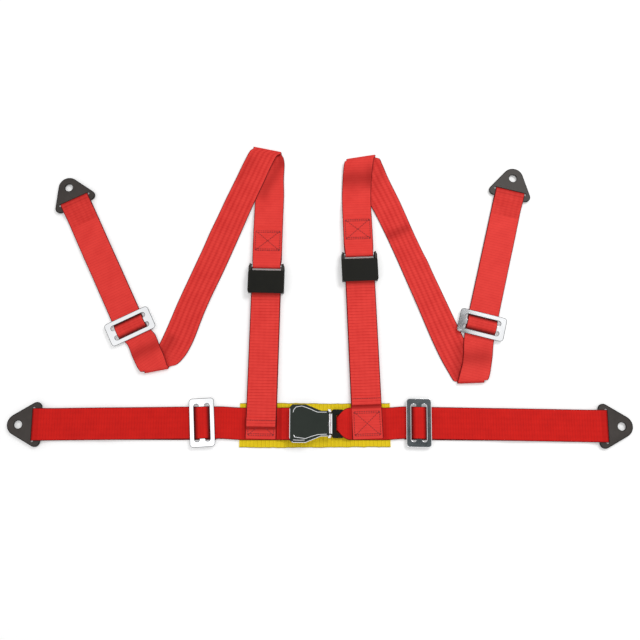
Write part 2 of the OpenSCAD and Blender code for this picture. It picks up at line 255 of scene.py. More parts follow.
def weaveGroup():
    # woven belt: weft ribs, warp lines, faint bands and painted shade along both edges, from metres across
    # and along
    group, start, end = newGroup("beltWeave", [
        ("Across And Along", "NodeSocketVector", None),
        ("Half Width", "NodeSocketFloat", 0.025),
        ("Rib Pitch", "NodeSocketFloat", 0.0017),
        ("Band Pitch", "NodeSocketFloat", 0.0084),
        ("Rib Depth", "NodeSocketFloat", 0.5),
        ("Band Depth", "NodeSocketFloat", 0.5),
        ("Band From", "NodeSocketFloat", 0.0),
        ("Band To", "NodeSocketFloat", 9.0),
    ], [("Shade", "NodeSocketFloat"), ("Height", "NodeSocketFloat"), ("EdgeShade", "NodeSocketFloat")])
    given = start.outputs

    def calc(operation, *values):
        return mathNode(group, operation, *values)

    split = group.nodes.new("ShaderNodeSeparateXYZ")
    group.links.new(given["Across And Along"], split.inputs[0])
    across, run = split.outputs[0], split.outputs[1]
    wander = noiseNode(group, given["Across And Along"], 160, 2)
    runBent = calc("MULTIPLY_ADD", wander, 0.0009, run)
    ribs = calc("SINE", calc("MULTIPLY", calc("DIVIDE", runBent, given["Rib Pitch"]), math.tau))
    pairs = calc("SINE", calc("MULTIPLY", calc("DIVIDE", run, given["Rib Pitch"]), math.pi))
    warp = calc("SINE", calc("MULTIPLY", across, math.tau / 0.0014))
    bandWave = calc("COSINE", calc("MULTIPLY", calc("DIVIDE", across, given["Band Pitch"]), math.tau))
    band = calc("POWER", calc("MULTIPLY_ADD", bandWave, 0.5, 0.5), 1.5)
    mottle = noiseNode(group, given["Across And Along"], 45, 4, 0.6)
    ribPart = calc("MULTIPLY", calc("ADD", calc("MULTIPLY", ribs, 0.6), calc("MULTIPLY", pairs, 0.5)),
                   given["Rib Depth"])
    begun = calc("SUBTRACT", run, given["Band From"])
    left = calc("SUBTRACT", given["Band To"], run)
    begun = calc("MULTIPLY", calc("MINIMUM", begun, left), 30)
    begun = calc("MINIMUM", calc("MAXIMUM", begun, 0), 1)
    bandPart = calc("MULTIPLY", calc("MULTIPLY", band, given["Band Depth"]), begun)
    shade = calc("MULTIPLY_ADD", ribPart, 0.2, 0.55)
    shade = calc("SUBTRACT", shade, calc("MULTIPLY", bandPart, 0.27))
    shade = calc("ADD", shade, calc("MULTIPLY", calc("SUBTRACT", mottle, 0.5), 0.55))
    shade = calc("MULTIPLY_ADD", warp, 0.03, shade)
    height = calc("ADD", calc("MULTIPLY", ribs, 0.5), calc("MULTIPLY", warp, 0.28))
    height = calc("SUBTRACT", height, calc("MULTIPLY", bandPart, 0.8))
    edge = calc("SUBTRACT", calc("ABSOLUTE", across), calc("SUBTRACT", given["Half Width"], 0.0013))
    # painted shade: a dark band along both edges of the belt
    edgeShade = calc("MINIMUM", calc("MAXIMUM", calc("DIVIDE", edge, 0.0006), 0), 1)
    for label, value in (("Shade", shade), ("Height", height), ("EdgeShade", edgeShade)):
        group.links.new(value, end.inputs[label])
    return group


def wearGroup():
    # soft blotches, fine grain and scratches for hard parts
    group, start, end = newGroup("partWear", [
        ("Grain Scale", "NodeSocketFloat", 900),
        ("Blotch Scale", "NodeSocketFloat", 60),
    ], [("Grain", "NodeSocketFloat"), ("Blotch", "NodeSocketFloat"), ("Scratch", "NodeSocketFloat")])
    place = group.nodes.new("ShaderNodeTexCoord").outputs["Object"]
    for label, source, detail, rough in (("Grain", "Grain Scale", 3, 0.6),
                                         ("Blotch", "Blotch Scale", 3, 0.55)):
        noise = group.nodes.new("ShaderNodeTexNoise")
        noise.inputs["Detail"].default_value = detail
        noise.inputs["Roughness"].default_value = rough
        group.links.new(place, noise.inputs["Vector"])
        group.links.new(start.outputs[source], noise.inputs["Scale"])
        group.links.new(noise.outputs[0], end.inputs[label])
    stretch = group.nodes.new("ShaderNodeMapping")
    stretch.inputs["Rotation"].default_value = (0, 0, 0.6)
    stretch.inputs["Scale"].default_value = (40, 900, 300)
    group.links.new(place, stretch.inputs["Vector"])
    lines = noiseNode(group, stretch.outputs[0], 1, 2)
    over = mathNode(group, "MULTIPLY", mathNode(group, "SUBTRACT", lines, 0.66), 6)
    sharp = mathNode(group, "MAXIMUM", over, 0)
    group.links.new(mathNode(group, "MINIMUM", sharp, 1), end.inputs["Scratch"])
    return group


beltWeave = weaveGroup()
partWear = wearGroup()


def newMaterial(name):
    mat = bpy.data.materials.new(name)
    mat.use_nodes = True
    return mat, mat.node_tree, mat.node_tree.nodes["Principled BSDF"]


def addGroup(tree, group, **values):
    node = tree.nodes.new("ShaderNodeGroup")
    node.node_tree = group
    for label, value in values.items():
        node.inputs[label].default_value = value
    return node


def mixColours(tree, factor, a, b):
    node = tree.nodes.new("ShaderNodeMix")
    node.data_type = "RGBA"
    tree.links.new(factor, node.inputs["Factor"])
    for socket, value in ((node.inputs[6], a), (node.inputs[7], b)):
        if isinstance(value, tuple):
            socket.default_value = (*value, 1)
        else:
            tree.links.new(value, socket)
    return node.outputs[2]


def bumpNode(tree, height, strength, distance):
    node = tree.nodes.new("ShaderNodeBump")
    node.inputs["Strength"].default_value = strength
    node.inputs["Distance"].default_value = distance
    tree.links.new(height, node.inputs["Height"])
    return node.outputs[0]


def beltMaterial(name, deep, bright, edge, halfWidth, pitch, ribDepth, bandDepth, rough=0.5, shine=0.08,
                 bandFrom=-1.0, bandTo=9.0, endShadeLength=None):
    mat, tree, shader = newMaterial(name)
    uv = tree.nodes.new("ShaderNodeUVMap")
    uv.uv_map = "UVMap"
    weave = addGroup(tree, beltWeave, **{
        "Half Width": halfWidth, "Rib Pitch": pitch, "Rib Depth": ribDepth, "Band Depth": bandDepth,
        "Band From": bandFrom, "Band To": bandTo})
    tree.links.new(uv.outputs[0], weave.inputs["Across And Along"])
    body = mixColours(tree, weave.outputs["Shade"], deep, bright)
    colour = mixColours(tree, weave.outputs["EdgeShade"], body, edge)
    paintedShade = tree.nodes.new("ShaderNodeAttribute")
    paintedShade.attribute_name = "paintedShade"
    # painted shade: the colour goes towards a deep red where the belt dips or lies under another part
    colour = mixColours(tree, paintedShade.outputs["Fac"], colour, (0.22, 0.001, 0.001))
    if endShadeLength:
        # painted shade in the two ends of a short piece of this length, where it dips under the frame
        split = tree.nodes.new("ShaderNodeSeparateXYZ")
        tree.links.new(uv.outputs[0], split.inputs[0])
        far = mathNode(tree, "ABSOLUTE", mathNode(tree, "SUBTRACT", split.outputs[1], endShadeLength / 2))
        far = mathNode(tree, "DIVIDE", mathNode(tree, "SUBTRACT", far, endShadeLength * 0.25), endShadeLength * 0.2)
        far = mathNode(tree, "MINIMUM", mathNode(tree, "MAXIMUM", far, 0), 0.85)
        colour = mixColours(tree, far, colour, edge)
    tree.links.new(colour, shader.inputs["Base Color"])
    tree.links.new(bumpNode(tree, weave.outputs["Height"], 0.55, 0.00022), shader.inputs["Normal"])
    shader.inputs["Roughness"].default_value = rough
    shader.inputs["Specular IOR Level"].default_value = shine
    return mat


def hardMaterial(name, colour, other, rough, metal, shine=0.5, grainBump=0.0, grain=900, scratch=0.0):
    mat, tree, shader = newMaterial(name)
    wear = addGroup(tree, partWear, **{"Grain Scale": grain})
    tree.links.new(mixColours(tree, wear.outputs["Blotch"], colour, other), shader.inputs["Base Color"])
    tone = mathNode(tree, "MULTIPLY_ADD", wear.outputs["Blotch"], 0.5 * rough, 0.75 * rough)
    tone = mathNode(tree, "MULTIPLY_ADD", wear.outputs["Scratch"], scratch, tone)
    tree.links.new(tone, shader.inputs["Roughness"])
    shader.inputs["Metallic"].default_value = metal
    shader.inputs["Specular IOR Level"].default_value = shine
    if grainBump:
        tree.links.new(bumpNode(tree, wear.outputs["Grain"], grainBump, 0.0002), shader.inputs["Normal"])
    return mat


def threadMaterial():
    mat, tree, shader = newMaterial("sewingThread")
    place = tree.nodes.new("ShaderNodeTexCoord").outputs["Object"]
    fuzz = noiseNode(tree, place, 1500, 2)
    tree.links.new(mixColours(tree, fuzz, (0.16, 0.002, 0.003), (0.34, 0.006, 0.007)),
                   shader.inputs["Base Color"])
    tree.links.new(bumpNode(tree, fuzz, 0.4, 0.0001), shader.inputs["Normal"])
    shader.inputs["Roughness"].default_value = 0.6
    return mat


# each edge colour is the painted shade along that belt's two edges
lapRed = dict(deep=(0.42, 0.006, 0.006), bright=(0.80, 0.018, 0.012), edge=(0.13, 0.003, 0.005))
# the lap red painted lighter and pinker for the sheen the shoulder straps and pull tails catch; the rear
# belts take its bright tone
sheenLitRed = dict(deep=(0.56, 0.020, 0.018), bright=(0.92, 0.070, 0.056), edge=(0.15, 0.004, 0.006))
rearRed = dict(lapRed, bright=sheenLitRed["bright"])
# darker edge colour for the belts over the slides: painted shade along their edges and at their ends
lapSlideRed = dict(lapRed, edge=(0.03, 0.002, 0.003))
rearSlideRed = dict(rearRed, edge=(0.03, 0.002, 0.003))
padGold = dict(deep=(0.62, 0.43, 0.006), bright=(0.95, 0.72, 0.02), edge=(0.34, 0.25, 0.01))
lapBelt = beltMaterial("lapBeltRed", **lapRed, halfWidth=0.025, pitch=0.0021, ribDepth=0.7, bandDepth=0.25)
shoulderBelt = beltMaterial("shoulderBeltRed", **sheenLitRed, halfWidth=0.024, pitch=0.0022, ribDepth=0.7,
                            bandDepth=1.2, bandFrom=0.24, bandTo=0.68)
rearBelt = beltMaterial("rearBeltRed", **rearRed, halfWidth=0.024, pitch=0.0022, ribDepth=0.6, bandDepth=0.3)
lapSlideBelt = beltMaterial("lapSlideRed", **lapSlideRed, halfWidth=0.025, pitch=0.0021, ribDepth=0.7,
                            bandDepth=0.2, endShadeLength=0.0275)
rearSlideBelt = beltMaterial("rearSlideRed", **rearSlideRed, halfWidth=0.024, pitch=0.0021, ribDepth=0.7,
                             bandDepth=0.2, endShadeLength=0.0275)
tailBelt = beltMaterial("tailBeltRed", **sheenLitRed, halfWidth=0.0235, pitch=0.0024, ribDepth=1.5,
                        bandDepth=0.2)
padCloth = beltMaterial("padYellow", **padGold, halfWidth=0.034, pitch=0.003, ribDepth=1.4, bandDepth=0.0,
                        rough=0.7)
chrome = hardMaterial("slideChrome", (0.80, 0.81, 0.83), (0.88, 0.89, 0.90), 0.10, 1.0, scratch=0.15)
slideEdgeShade = hardMaterial("slideEdgeDarkShade", (0.03, 0.031, 0.033), (0.09, 0.092, 0.095), 0.2, 1.0)
# painted dark reflection for the right lap slide
darkReflectionSteel = hardMaterial("darkReflectionSteel", (0.13, 0.15, 0.16), (0.20, 0.225, 0.235), 0.16, 1.0, scratch=0.1)
bodySteel = hardMaterial("buckleSteel", (0.78, 0.79, 0.80), (0.88, 0.88, 0.89), 0.14, 1.0, scratch=0.15)
plateBlack = hardMaterial("plateBlackCoat", (0.036, 0.031, 0.028), (0.066, 0.057, 0.052), 0.42, 0.0,
                          shine=0.15, grainBump=0.12)
# near-black rim colour: painted shade along the plates' edges and round their bolt holes
plateRimShade = hardMaterial("plateRimShade", (0.003, 0.003, 0.003), (0.008, 0.007, 0.007), 0.5, 0.0, shine=0.1)
mouldedBlack = hardMaterial("mouldedBlack", (0.006, 0.006, 0.005), (0.012, 0.012, 0.009), 0.5, 0.0,
                            shine=0.1, grainBump=0.15, grain=1400)
leverBlack = hardMaterial("leverBlack", (0.009, 0.014, 0.010), (0.017, 0.024, 0.018), 0.25, 0.0, shine=0.25)
redThread = threadMaterial()
print("materials ready")

# webbing

# where the belts lie flat because something holds them: x, y and radius
heldFlat = [(-208, 2, 78), (178, 1, 78), (-313.9, 176.1, 78), (264.4, 180.2, 78),
            (-85, 235, 62), (63, 265, 62), (-80, 0, 62), (0, 0, 75), (70, 0, 60)]
# soft creases: x, y, direction in degrees, height and width
creases = [(-215, 190, 20, 1.5, 9), (-160, 320, 28, 1.2, 12), (170, 262, -20, 1.8, 8),
           (205, 170, -24, 1.2, 10),
           (-345, 240, 26, 1.6, 10), (275, 225, -14, 1.3, 9), (-330, 0, 92, 0.9, 16), (290, 0, 88, 0.9, 18)]
liftHeight = 1.5


def smoothStep(value):
    value = np.clip(value, 0, 1)
    return value * value * (3 - 2 * value)


def liftAt(x, y):
    # gentle rise of the belts off the surface, the same for every layer at a place
    swell = np.sin(0.031 * x + 0.9) * np.sin(0.027 * y + 0.4) + 0.6 * np.sin(0.058 * x - 0.043 * y + 2.1)
    swell = np.clip(0.5 + 0.33 * (swell + 0.3 * np.sin(0.09 * x + 0.077 * y)), 0, 1)
    mask = np.ones_like(x)
    for cx, cy, radius in heldFlat + plateSpots:
        mask = mask * smoothStep((np.hypot(x - cx, y - cy) - radius) / 45)
    rise = liftHeight * swell
    for cx, cy, turn, height, width in creases:
        a = math.radians(turn)
        across = (x - cx) * -math.sin(a) + (y - cy) * math.cos(a)
        run = (x - cx) * math.cos(a) + (y - cy) * math.sin(a)
        rise = rise + height * np.exp(-(across / width) ** 2) * np.exp(-(run / 60) ** 2)
    return rise * mask


# painted shade on named belts, where they dip, fold, pass a slot or lie under another part: middle,
# direction, half length, width, depth, lowest and highest z
paintedShadeSpots = {
    "shoulder_left_upper_belt": [
        ((-79, 408), 62.7, 44, 10, 0.42, (0, 2)), ((-60, 438), 80, 14, 7, 0.35, (0, 2.2)),
        ((-88, 457.5), -12, 40, 2.6, 0.75, (0, 9)),
        ((-277, 116), 26, 34, 11, 0.42, (2, 9)), ((-259, 80.5), 10, 34, 2.6, 0.7, (0, 9)),
        ((-244, 122), 60, 22, 9, 0.4, (0, 2)),
        ((-125, 420), 62, 30, 9, 0.18, (2, 9))],
    "shoulder_right_upper_belt": [
        ((66, 405), 4, 44, 15, 0.5, (2, 9)), ((84, 408), 88, 22, 7, 0.25, (2, 9)),
        ((68, 444), 8.5, 40, 2.6, 0.75, (0, 9)),
        ((119, 308), 24, 34, 8, 0.4, (0, 3)), ((238, 103), 4, 40, 14, 0.38, (2, 9)),
        ((238, 62.5), 2, 40, 2.6, 0.65, (0, 9)),
        ((221, 100), 80, 30, 9, 0.34, (0, 2)), ((100, 410), 70, 26, 8, 0.22, (0, 2.5))],
    "shoulder_left_lower_belt": [((-91.5, -7.2), 0, 40, 2.4, 0.85, (0, 9))],
    "shoulder_right_lower_belt": [((73, 26.6), 2, 40, 2.4, 0.85, (0, 9))],
    "lap_left_belt": [((-118, 0), 90, 40, 3, 0.35, (0, 9)), ((-62, 0), 90, 40, 4, 0.45, (0, 4.6)),
                      ((-183, 0), 93, 40, 20, 0.3, (0, 9))],
    "lap_right_belt": [((47, 0), 90, 40, 3, 0.3, (0, 9)), ((101, 0), 92, 40, 3, 0.35, (0, 9)),
                       ((153, 0), 90, 40, 20, 0.3, (0, 9))],
}


def paintedShadeAt(name, x, y, z):
    tone = np.zeros_like(x)
    for (cx, cy), turn, length, width, depth, (low, high) in paintedShadeSpots.get(name, []):
        a = math.radians(turn)
        run = (x - cx) * math.cos(a) + (y - cy) * math.sin(a)
        across = (y - cy) * math.cos(a) - (x - cx) * math.sin(a)
        spot = depth * np.exp(-(across / width) ** 2) * smoothStep(2 - np.abs(run) / length * 1.6)
        tone = 1 - (1 - tone) * (1 - spot * ((z >= low) & (z <= high)))
    return tone


def evenOut(rungs, step):
    # rungs are the belt's left and right edge points; the path between them flows with no overshoot
    r = np.array(rungs, float)
    mid = (r[:, :3] + r[:, 3:]) / 2
    gaps = np.maximum(np.linalg.norm(np.diff(mid, axis=0), axis=1), 1e-6)
    slopes = np.diff(r, axis=0) / gaps[:, None]
    bend = np.zeros_like(r)
    bend[0], bend[-1] = slopes[0], slopes[-1]
    before, after = slopes[:-1], slopes[1:]
    wa, wb = (2 * gaps[1:] + gaps[:-1])[:, None], (gaps[1:] + 2 * gaps[:-1])[:, None]
    same = before * after > 0
    safeA, safeB = np.where(same, before, 1), np.where(same, after, 1)
    bend[1:-1] = np.where(same, (wa + wb) / (wa / safeA + wb / safeB), 0)
    rows = [r[:1]]
    for i, gap in enumerate(gaps):
        t = (np.arange(1, max(1, math.ceil(gap / step)) + 1) / max(1, math.ceil(gap / step)))[:, None]
        rows.append((2 * t ** 3 - 3 * t ** 2 + 1) * r[i] + (t ** 3 - 2 * t ** 2 + t) * gap * bend[i]
                    + (3 * t ** 2 - 2 * t ** 3) * r[i + 1] + (t ** 3 - t ** 2) * gap * bend[i + 1])
    return np.vstack(rows)


def layBelt(name, rungs, width, mat, step=2.6, thick=1.5, lift=True, startAt=0.0):
    rows = evenOut(rungs, step)
    edge = np.array([0, 0.5, 1.3]) / width
    places = np.concatenate([edge, np.linspace(3.2 / width, 1 - 3.2 / width, 11), 1 - edge[::-1]])
    columns, count = len(places) - 1, len(rows) - 1
    deselectAll()
    bpy.ops.mesh.primitive_grid_add(x_subdivisions=columns, y_subdivisions=count, size=1)
    obj = bpy.context.object
    obj.name = obj.data.name = name
    flat = np.empty(len(obj.data.vertices) * 3)
    obj.data.vertices.foreach_get("co", flat)
    flat = flat.reshape(-1, 3)
    col = np.rint((flat[:, 0] + 0.5) * columns).astype(int)
    row = np.rint((flat[:, 1] + 0.5) * count).astype(int)
    share = places[col][:, None]
    points = rows[row, :3] * (1 - share) + rows[row, 3:] * share
    # painted shade amount at each point, kept as an attribute for the material
    paintedShade = obj.data.attributes.new("paintedShade", "FLOAT", "POINT")
    paintedShade.data.foreach_set("value", paintedShadeAt(name, points[:, 0], points[:, 1],
                                                points[:, 2]).astype(np.float32))
    if lift:
        points[:, 2] += liftAt(points[:, 0], points[:, 1])
    leftRun = np.concatenate([[0], np.cumsum(np.linalg.norm(np.diff(rows[:, :3], axis=0), axis=1))])
    rightRun = np.concatenate([[0], np.cumsum(np.linalg.norm(np.diff(rows[:, 3:], axis=0), axis=1))])
    run = leftRun[row] * (1 - share[:, 0]) + rightRun[row] * share[:, 0] + startAt
    points = np.column_stack([points[:, 0], points[:, 1] + lapLine, points[:, 2]]) / 1000
    obj.data.vertices.foreach_set("co", points.ravel())
    uv = obj.data.uv_layers[0]
    uv.name = "UVMap"
    loops = np.empty(len(obj.data.loops), int)
    obj.data.loops.foreach_get("vertex_index", loops)
    pairs = np.column_stack([(share[:, 0] - 0.5) * width / 1000, run / 1000])[loops]
    uv.data.foreach_set("uv", pairs.ravel())
    full = obj.vertex_groups.new(name="full")
    thinness = {0: 0.0, 1: 0.55, 2: 0.9}
    for i, c in enumerate(col):
        full.add([i], thinness.get(min(c, columns - c), 1.0), "REPLACE")
    solid = obj.modifiers.new("thickness", "SOLIDIFY")
    solid.thickness = thick / 1000
    solid.offset = 0
    solid.vertex_group = "full"
    solid.thickness_vertex_group = 0.35
    applyModifiers(obj)
    obj.vertex_groups.clear()
    obj.data.materials.append(mat)
    smoothBy(obj, 50)
    obj["beltLength"] = float((leftRun[-1] + rightRun[-1]) / 2000)
    return obj


def flatRung(left, right, z):
    return [*left, z, *right, z]


def crossRung(place, s, z, half):
    # straight across a strap, at s along it
    return flatRung(along(place, s, half), along(place, s, -half), z)


def foldRungs(left, right, outward, zFrom, zTo):
    # half turn over a crease, with its outermost line from left to right
    a = math.radians(outward)
    radius = abs(zTo - zFrom) / 2
    out = []
    for phi in turnAngles:
        push = radius * (math.sin(phi) - 1)
        z = (zFrom + zTo) / 2 + (zFrom - zTo) / 2 * math.cos(phi)
        out.append([left[0] + push * math.cos(a), left[1] + push * math.sin(a), z,
                    right[0] + push * math.cos(a), right[1] + push * math.sin(a), z])
    return out


# strap ends: slide centre, direction to the plate, distance from the slide to the plate's slot
ends = {
    "lap_left": dict(at=(-183, 1.8), turn=180.6, run=263, half=25, parent="harness_left", mat=lapBelt,
                     slideMat=lapSlideBelt, skew=3, peek=1.3, loopEnd=-22),
    "lap_right": dict(at=(153.5, 1.4), turn=-1, run=292, half=25, parent="harness_right", mat=lapBelt,
                      slideMat=lapSlideBelt, peek=-1, loopEnd=-22),
    "shoulder_left": dict(at=(-302.9, 153.6), turn=116, run=238, half=24, parent="left_adjuster",
                          mat=rearBelt, slideMat=rearSlideBelt, loopEnd=-14),
    "shoulder_right": dict(at=(258.2, 156), turn=75.7, run=233.5, half=24, parent="right_adjuster",
                           mat=rearBelt, slideMat=rearSlideBelt, loopEnd=-14),
}
plateSpots = [(*along(e, e["run"]), 42) for e in ends.values()]
# painted shade where each loop belt goes into the plate's slot and just before it
for key, e in ends.items():
    paintedShadeSpots[key + "_loop_belt"] = [
        (along(e, e["run"] + 1.2), e["turn"] + 90, 40, 2.7, 0.9, (1, 9)),
        (along(e, e["run"] - 6.5), e["turn"] + 90, 40, 2.2, 0.25, (4, 9))]
seamBack = 45          # the belt's seam, this far short of the plate's slot
topZ = layer + webThick / 2
floorZ = webThick / 2


def layEnd(key):
    e = ends[key]
    run, half = e["run"], e["half"]
    # round the plate's bar and back under the belt to a free end below the slide
    eye = [crossRung(e, run + d, z, half) for d, z in (
        (-seamBack, topZ), (-36, topZ), (-30, topZ + 0.15), (-22, topZ + 1.7), (-14.5, 5.95), (-9, 6.1),
        (-4.6, 6.15),
        (-2.2, 5.9), (-0.4, 5.2), (0.9, 4.3), (1.35, 3.3), (0.9, 2.3), (-0.6, 1.4), (-2.6, 0.95),
        (-4.6, floorZ), (-14, floorZ), (-30, floorZ), (-60, floorZ))]
    peek = e.get("peek", 0)
    for s, shift in ((run / 2, 0), (30, peek), (e["loopEnd"], peek)):
        eye.append(flatRung(along(e, s, half + shift), along(e, s, shift - half), floorZ))
    loop = layBelt(key + "_loop_belt", eye, 2 * half, e["mat"])
    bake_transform(loop)
    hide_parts(key + "_loop", key + "_eye")
    # rise of the belt over the slide's middle bar
    skewed = dict(at=e["at"], turn=e["turn"] + e.get("skew", 0))
    wave = [crossRung(skewed, s, z, half - 0.3) for s, z in (
        (-12.1, 4.5), (-10, 4.7), (-7.6, 5.9), (-5.8, 7.5), (-3.6, 8.25), (0, 8.4), (3.6, 8.25), (5.8, 7.5),
        (7.6, 5.9), (10, 4.7), (12.1, 4.5))]
    hump = layBelt(key + "_slide_belt", wave, 2 * half - 0.6, e["slideMat"], step=1.0, lift=False)
    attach(hump, key + "_slide_body")
    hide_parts(key + "_slide_webbing")


for key in ends:
    layEnd(key)
print("strap ends laid")

buckleBar = dict(x=-36, z=6.8, wrap=4.1)


def layLapLeft():
    e = ends["lap_left"]
    half = e["half"]
    bar = buckleBar
    rungs = [flatRung((x, -half), (x, half), z) for x, z in ((-66.9, 4.4), (-61, 4.6), (-54, 6.2),
                                                             (-46, 9.3), (-40, 10.7))]
    for step in range(7):
        a = math.pi / 2 - step * math.pi / 6
        x, z = bar["x"] + bar["wrap"] * math.cos(a), bar["z"] + bar["wrap"] * math.sin(a)
        rungs.append(flatRung((x, -half), (x, half), z))
    rungs += [flatRung((x, -half), (x, half), topZ) for x in (-50, -80, -115)]
    rungs += [crossRung(e, s, topZ, half) for s in (-22, 0, 40, e["run"] / 2, e["run"] - 90,
                                                    e["run"] - seamBack)]
    belt = layBelt("lap_left_belt", rungs, 2 * half, e["mat"])
    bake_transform(belt)
    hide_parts("lap_left_webbing")


def layLapRight():
    e = ends["lap_right"]
    half = e["half"]
    head = [(49.2, 4.4, 24.8), (46, 5.0, 24.8), (42, 6.8, 24.0), (38.2, 7.8, 22.0), (34.5, 8.0, 19.0),
            (31, 8.0, 15.4), (28.9, 7.8, 12.4),
            (27.6, 7.2, 10.6), (26.6, 6.2, 10.6), (26.2, 4.8, 11.5), (26.6, 3.4, 13), (28, topZ, 15),
            (38, topZ, 22), (46, topZ, half),
            (70, topZ, half), (100, topZ, half)]
    rungs = [flatRung((x, h), (x, -h), z) for x, z, h in head]
    rungs += [crossRung(e, s, topZ, half) for s in (-22, 0, 40, e["run"] / 2, e["run"] - 90,
                                                    e["run"] - seamBack)]
    belt = layBelt("lap_right_belt", rungs, 2 * half, e["mat"])
    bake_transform(belt)
    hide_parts("lap_right_webbing")


def layPad():
    pad = dict(left=-125.2, right=109.3, low=-36.2, high=31.8)
    rng = random.Random(5)
    rungs = []
    for i in range(41):
        x = pad["left"] + (pad["right"] - pad["left"]) * i / 40
        wob = [rng.uniform(-0.35, 0.35) for _ in range(2)]
        rungs.append([x, pad["high"] + wob[0] + 0.5 * math.sin(i / 6), 0.8, x,
                      pad["low"] + wob[1] - 0.5 * math.sin(i / 7), 0.8])
    cloth = layBelt("backing_pad_cloth", rungs, pad["high"] - pad["low"], padCloth,
                    lift=False)
    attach(cloth, "harness_left")
    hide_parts("backing_pad")


layPad()
layLapLeft()
layLapRight()
print("lap belt laid")

fronts = {
    "left": dict(at=(-91.5, 0), turn=88.8, adjuster=225, tailEnd=-5, half=24, parent="harness_left"),
    "right": dict(at=(73.4, 0), turn=92.1, adjuster=245, tailEnd=29, half=24, parent="harness_right"),
}
barAhead = 26.5        # the loop bar, this far above an adjuster's centre
barHigh = 9.6
barWrap = 3.1
lowStrapZ = 2 * layer + webThick / 2
tailZ = 3 * layer + webThick / 2


def loopRungs(f):
    # sewn end, round the adjuster's bar, and back under it
    bar = f["adjuster"] + barAhead
    rungs = [crossRung(f, bar + s, z, half) for s, z, half in (
        (65, 8.15, 24), (56, 8.15, 24), (40, 8.15, 24), (27, 8.15, 24), (20, 8.5, 23.8), (13, 10.1, 23.4),
        (7, 12.0, 22.9), (3, 12.6, 22.7))]
    for step in range(7):
        a = math.pi / 2 + step * math.pi / 6
        rungs.append(crossRung(f, bar + barWrap * math.cos(a), barHigh + barWrap * math.sin(a), 22.7))
    rungs += [crossRung(f, bar + s, z, 24) for s, z in ((12, tailZ), (40, tailZ), (64, tailZ), (80, 5.6),
                                                        (100, 2.6))]
    return rungs


def layShoulder(side, rungs, key, splitAt):
    f, e = fronts[side], ends[key]
    body = side + "_adjuster"
    upper = layBelt(key + "_upper_belt", rungs + [crossRung(e, s, topZ, 24) for s in (-8, splitAt)], 48,
                    shoulderBelt)
    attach(upper, body)
    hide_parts(key + "_upper_strap")
    back = [crossRung(e, s, topZ, 24) for s in (splitAt, 20, 60, e["run"] / 2, e["run"] - 90,
                                                e["run"] - seamBack)]
    rear = layBelt(key + "_rear_belt", back, 48, shoulderBelt, startAt=upper["beltLength"] * 1000)
    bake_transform(rear)


def layLower(side, key):
    f = fronts[side]
    adj, tail = f["adjuster"], f["tailEnd"]
    low = layBelt(key + "_lower_belt", [crossRung(f, s, lowStrapZ, 24)
                                        for s in (-23, 0, 40, adj / 2, adj - 30, adj + 18)], 48,
                                        shoulderBelt, lift=False)
    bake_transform(low)
    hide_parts(key + "_lower_strap")
    hem = [(tail + 14, 8.1), (tail + 8, 8.1), (tail + 2.2, 8.1), (tail + 1.1, 7.8), (tail + 0.8, 7.3),
           (tail + 1.1, 6.8), (tail + 2.2, tailZ)]
    run = [(tail + 12, tailZ), (tail + 40, tailZ), (adj / 2 + 20, tailZ), (adj - 25, tailZ), (adj + 2, tailZ)]
    pull = layBelt(key + "_tail_belt", [crossRung(f, s, z, 23.5) for s, z in hem + run], 47, tailBelt,
                   lift=False)
    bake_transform(pull)
    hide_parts(key + "_pull_tail")


leftPath = loopRungs(fronts["left"]) + [
    crossRung(fronts["left"], 376, floorZ, 24),
    flatRung((-109.6, 405), (-60.3, 403), floorZ),
    flatRung((-110.8, 440), (-59.4, 430), floorZ),
    flatRung((-111.4, 452), (-61.2, 442), floorZ)]
leftPath += foldRungs((-112, 460.5), (-65, 450.8), 101, floorZ, 6.4)
leftPath += [
    flatRung((-116.5, 454), (-70.5, 445), 5.9),
    flatRung((-125, 439), (-79.5, 430), 3.6),
    flatRung((-137.5, 411), (-92.5, 400), topZ),
    flatRung((-153, 376), (-110, 359), topZ),
    flatRung((-167, 344), (-124, 325), floorZ + 0.4),
    flatRung((-197, 271), (-153, 254), floorZ),
    flatRung((-228, 197), (-184, 181), floorZ),
    flatRung((-252, 135), (-207, 119), floorZ),
    flatRung((-265, 107), (-218, 101.5), floorZ),
    flatRung((-272, 91), (-228.5, 92.2), floorZ)]
leftPath += foldRungs((-276.5, 79.2), (-239.5, 86.4), 257, floorZ, 6.2)
leftPath += [
    flatRung((-281.3, 80.6), (-240.5, 90.5), 6.1),
    flatRung((-286, 84.8), (-242.8, 97), 5.5),
    flatRung((-291, 92.5), (-247, 107.5), 4.4),
    flatRung((-298, 106), (-254.5, 122.5), 3.2),
    flatRung((-307, 125), (-262.8, 141), topZ)]

rightPath = loopRungs(fronts["right"])[:-1] + [
    flatRung((36.4, 372), (84.8, 374), floorZ + 1.1),
    flatRung((37.0, 392), (85.6, 396), topZ),
    flatRung((38.2, 412), (87.4, 417), topZ + 1.2),
    flatRung((39.8, 427), (89.4, 433), 5.7),
    flatRung((41.6, 434), (91.2, 441), 6.3)]
rightPath += foldRungs((44.2, 438.4), (92.6, 446.2), 98.5, 6.4, floorZ)
rightPath += [
    flatRung((48, 428), (99.5, 441.5), floorZ),
    flatRung((54, 414), (104.5, 431), floorZ),
    flatRung((66, 390), (113, 409), floorZ),
    flatRung((87.5, 351), (131.5, 367), floorZ),
    flatRung((111.8, 298), (152.5, 315), floorZ),
    flatRung((150.5, 203), (192, 223), floorZ),
    flatRung((190.5, 104), (235.5, 122), floorZ),
    flatRung((203.5, 79), (250, 92), floorZ),
    flatRung((208.5, 70), (255.5, 78), floorZ),
    flatRung((211.8, 66.2), (257.2, 70.5), floorZ)]
rightPath += foldRungs((216, 63), (258, 64.4), 268, floorZ, 6.2)
